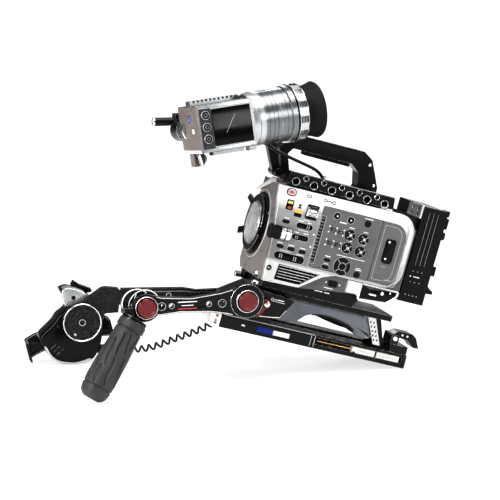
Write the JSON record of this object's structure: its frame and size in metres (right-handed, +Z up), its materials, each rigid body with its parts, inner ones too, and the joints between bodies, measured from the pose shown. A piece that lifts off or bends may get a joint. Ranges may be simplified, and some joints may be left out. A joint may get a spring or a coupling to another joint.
{
  "type": "cinema camera rig",
  "caption": "Shoulder-rigged cinema camera with a viewfinder on a rod, top handle, battery adapter, tripod plate and two jointed hand grips.",
  "frame": {"origin": "on the ground under the middle of the standing rig's box, measured without its free cords", "axes": "+X from the lens to the battery, level with the ground; +Y away from the operator's side; +Z up. The camera itself stands nose up by 15.9 degrees."},
  "size_m": [0.6078, 0.3178, 0.4286],
  "materials": {
    "body_silver": "fine satin paint",
    "shell_grey": "satin paint",
    "front_taupe": "satin paint",
    "cap_grey": "moulded, fine grain",
    "panel_dark": "matt with printed marks",
    "black_plastic": "moulded, fine grain",
    "gloss_black": "polished",
    "black_anodised": "black anodised",
    "bare_aluminium": "turned, satin",
    "red_anodised": "red anodised",
    "red_plastic": "polished",
    "evf_grey": "satin paint",
    "evf_taupe": "satin paint",
    "rubber_black": "moulded, matt",
    "rubber_carved": "moulded with carved grooves",
    "foam_grey": "closed-cell foam, matt",
    "strap_webbing": "woven nylon webbing",
    "white_plastic": "moulded",
    "strap_white": "perforated strap",
    "optical_glass": "coated and polished",
    "sensor_glass": "coated glass over the sensor",
    "filter_disc": "black anodised",
    "circuit_green": "solder mask",
    "cable_rubber": "smooth"
  },
  "bodies": {
    "camera": {"body_shell": "shell_grey", "front_housing": "front_taupe", "body_cap": "cap_grey", "side_panel": "body_silver", "control_panel": "panel_dark", "vent_grille": "black_plastic", "image_sensor": "sensor_glass", "main_board": "circuit_green", "cheese_plate": "black_anodised", "top_handle": "black_anodised", "handle_rubber": "rubber_black", "battery_adapter": "black_plastic", "rear_bracket": "bare_aluminium", "base_plate": "black_anodised", "rosette_block": "black_anodised", "shoulder_pad": "foam_grey", "pad_strap": "strap_white", "tripod_plate": "black_anodised", "plate_bracket": "bare_aluminium", "evf_cable": "cable_rubber", "coiled_cable": "cable_rubber"},
    "lock_ring": {"lens_lock_ring": "black_anodised"},
    "media_door": {"media_door": "panel_dark"},
    "port_flap": {"port_flap": "rubber_black"},
    "record_button": {"record_button": "red_plastic"},
    "push_buttons": {"push_buttons": "black_plastic"},
    "toggle_switches": {"toggle_switches": "black_plastic"},
    "nd_dial": {"nd_dial": "black_plastic"},
    "menu_wheel": {"menu_wheel": "bare_aluminium"},
    "audio_knob_1": {"audio_knob_1": "black_plastic"},
    "audio_knob_2": {"audio_knob_2": "black_plastic"},
    "audio_knob_3": {"audio_knob_3": "black_plastic"},
    "audio_knob_4": {"audio_knob_4": "black_plastic"},
    "power_switch": {"power_switch": "black_plastic"},
    "nd_filter_wheel": {"nd_filter_wheel": "filter_disc"},
    "cooling_fan": {"cooling_fan": "black_plastic"},
    "battery_release": {"battery_release": "black_plastic"},
    "release_lever": {"release_lever": "red_anodised"},
    "release_wedge": {"release_wedge": "white_plastic"},
    "rear_latch": {"rear_latch": "black_anodised"},
    "evf_link": {"evf_link": "black_anodised"},
    "evf_rod": {"evf_rod": "black_anodised"},
    "viewfinder": {"evf_body": "evf_grey", "evf_front_plate": "evf_taupe", "evf_barrel": "evf_grey", "evf_lens": "optical_glass", "eyecup": "rubber_black"},
    "evf_buttons": {"evf_buttons": "black_plastic"},
    "focus_ring": {"evf_focus_ring": "black_anodised"},
    "near_arm": {"near_arm": "black_anodised"},
    "arm_lock_button": {"arm_lock_button": "red_anodised"},
    "handle": {"handle_core": "black_anodised", "handle_grip": "rubber_carved"},
    "handle_lock_button": {"handle_lock_button": "red_anodised"},
    "far_arm": {"far_arm": "black_anodised", "grip_extension": "black_anodised"},
    "hand_grip": {"hand_grip": "gloss_black", "hand_strap": "strap_webbing"},
    "grip_button": {"grip_button": "black_plastic"},
    "zoom_rocker": {"zoom_rocker": "black_plastic"}
  },
  "joints": [
    {"name": "lock_ring_turn", "type": "hinge", "parent": "camera", "child": "lock_ring", "pos_m": [0.02036, -0.00709, 0.21975], "axis": [0.9617, 0, -0.274], "range_deg": [0, 30]},
    {"name": "media_door_hinge", "type": "hinge", "parent": "camera", "child": "media_door", "pos_m": [0.21917, -0.08789, 0.17559], "axis": [0.274, 0, 0.9617], "range_deg": [0, 100]},
    {"name": "port_flap_hinge", "type": "hinge", "parent": "camera", "child": "port_flap", "pos_m": [0.14653, -0.08389, 0.12246], "axis": [0.9617, 0, -0.274], "range_deg": [0, 90]},
    {"name": "record_button_press", "type": "slide", "parent": "camera", "child": "record_button", "axis": [0, 1, 0], "range_m": [0, 0.001], "stiffness_N_per_m": 400},
    {"name": "push_buttons_press", "type": "slide", "parent": "camera", "child": "push_buttons", "axis": [0, 1, 0], "range_m": [0, 0.0008], "stiffness_N_per_m": 400},
    {"name": "toggle_switches_slide", "type": "slide", "parent": "camera", "child": "toggle_switches", "axis": [0.9617, 0, -0.274], "range_m": [-0.002, 0.002]},
    {"name": "nd_dial_turn", "type": "hinge", "parent": "camera", "child": "nd_dial", "pos_m": [0.03695, -0.08409, 0.21595], "axis": [0.9617, 0, -0.274], "range_deg": [0, 270]},
    {"name": "menu_wheel_turn", "type": "hinge", "parent": "camera", "child": "menu_wheel", "pos_m": [0.08311, -0.08109, 0.24294], "axis": [0.9617, 0, -0.274], "continuous": true},
    {"name": "audio_knob_1_turn", "type": "hinge", "parent": "camera", "child": "audio_knob_1", "pos_m": [0.14025, -0.08809, 0.20847], "axis": [0, -1, 0], "range_deg": [-150, 150]},
    {"name": "audio_knob_2_turn", "type": "hinge", "parent": "camera", "child": "audio_knob_2", "pos_m": [0.16071, -0.08809, 0.20108], "axis": [0, -1, 0], "range_deg": [-150, 150]},
    {"name": "audio_knob_3_turn", "type": "hinge", "parent": "camera", "child": "audio_knob_3", "pos_m": [0.13598, -0.08809, 0.18982], "axis": [0, -1, 0], "range_deg": [-150, 150]},
    {"name": "audio_knob_4_turn", "type": "hinge", "parent": "camera", "child": "audio_knob_4", "pos_m": [0.15569, -0.08809, 0.18307], "axis": [0, -1, 0], "range_deg": [-150, 150]},
    {"name": "power_switch_slide", "type": "slide", "parent": "camera", "child": "power_switch", "axis": [0.9617, 0, -0.274], "range_m": [-0.0025, 0.0025]},
    {"name": "nd_filter_turn", "type": "hinge", "parent": "camera", "child": "nd_filter_wheel", "pos_m": [0.03604, -0.00709, 0.19448], "axis": [0.9617, 0, -0.274], "range_deg": [-270, 0]},
    {"name": "fan_spin", "type": "hinge", "parent": "camera", "child": "cooling_fan", "pos_m": [0.17409, 0.03491, 0.18635], "axis": [0, 1, 0], "continuous": true},
    {"name": "battery_release_press", "type": "slide", "parent": "camera", "child": "battery_release", "axis": [-0.274, 0, -0.9617], "range_m": [0, 0.002], "stiffness_N_per_m": 600},
    {"name": "release_lever_swing", "type": "hinge", "parent": "camera", "child": "release_lever", "pos_m": [0.01287, -0.09809, 0.11717], "axis": [0, -1, 0], "range_deg": [0, 60]},
    {"name": "release_wedge_slide", "type": "slide", "parent": "camera", "child": "release_wedge", "axis": [0.9617, 0, -0.274], "range_m": [-0.003, 0]},
    {"name": "rear_latch_lift", "type": "hinge", "parent": "camera", "child": "rear_latch", "pos_m": [0.22214, -0.04209, 0.04477], "axis": [0, -1, 0], "range_deg": [0, 45]},
    {"name": "evf_link_tilt", "type": "hinge", "parent": "camera", "child": "evf_link", "pos_m": [0.04407, -0.03509, 0.29752], "axis": [0, 1, 0], "range_deg": [0, 25]},
    {"name": "evf_rod_slide", "type": "slide", "parent": "evf_link", "child": "evf_rod", "axis": [1, 0, 0], "range_m": [-0.01, 0.035]},
    {"name": "evf_tilt", "type": "hinge", "parent": "evf_rod", "child": "viewfinder", "pos_m": [-0.09317, -0.07056, 0.36398], "axis": [0.1238, -0.9869, 0.1039], "range_deg": [-10, 80]},
    {"name": "evf_buttons_press", "type": "slide", "parent": "viewfinder", "child": "evf_buttons", "axis": [-0.1238, 0.9869, -0.1039], "range_m": [0, 0.0008], "stiffness_N_per_m": 400},
    {"name": "focus_ring_turn", "type": "hinge", "parent": "viewfinder", "child": "focus_ring", "pos_m": [0.05231, -0.09451, 0.38661], "axis": [0.985, 0.1349, 0.108], "range_deg": [-60, 60]},
    {"name": "near_arm_swing", "type": "hinge", "parent": "camera", "child": "near_arm", "pos_m": [-0.01991, -0.11209, 0.12653], "axis": [0, 1, 0], "range_deg": [-60, 60]},
    {"name": "arm_lock_press", "type": "slide", "parent": "near_arm", "child": "arm_lock_button", "axis": [0, 1, 0], "range_m": [0, 0.0025], "stiffness_N_per_m": 1500},
    {"name": "handle_swing", "type": "hinge", "parent": "near_arm", "child": "handle", "pos_m": [-0.16341, -0.11209, 0.12483], "axis": [0, 1, 0], "range_deg": [-40, 110]},
    {"name": "handle_lock_press", "type": "slide", "parent": "near_arm", "child": "handle_lock_button", "axis": [0, 1, 0], "range_m": [0, 0.0025], "stiffness_N_per_m": 1500},
    {"name": "far_arm_swing", "type": "hinge", "parent": "camera", "child": "far_arm", "pos_m": [0.05409, 0.07391, 0.09953], "axis": [0, 1, 0], "range_deg": [0, 60]},
    {"name": "hand_grip_turn", "type": "hinge", "parent": "far_arm", "child": "hand_grip", "pos_m": [-0.22291, 0.07991, 0.06753], "axis": [0, 1, 0], "range_deg": [0, 60]},
    {"name": "grip_button_press", "type": "slide", "parent": "hand_grip", "child": "grip_button", "axis": [0, 1, 0], "range_m": [0, 0.001], "stiffness_N_per_m": 400},
    {"name": "zoom_rocker_rock", "type": "hinge", "parent": "hand_grip", "child": "zoom_rocker", "pos_m": [-0.21941, 0.11491, 0.10653], "axis": [0, 1, 0], "range_deg": [-5, 5], "stiffness_Nm_per_rad": 0.02}
  ],
  "couplings": [
    {"joint": "nd_filter_turn", "follows": "nd_dial_turn", "ratio": -1}
  ]
}
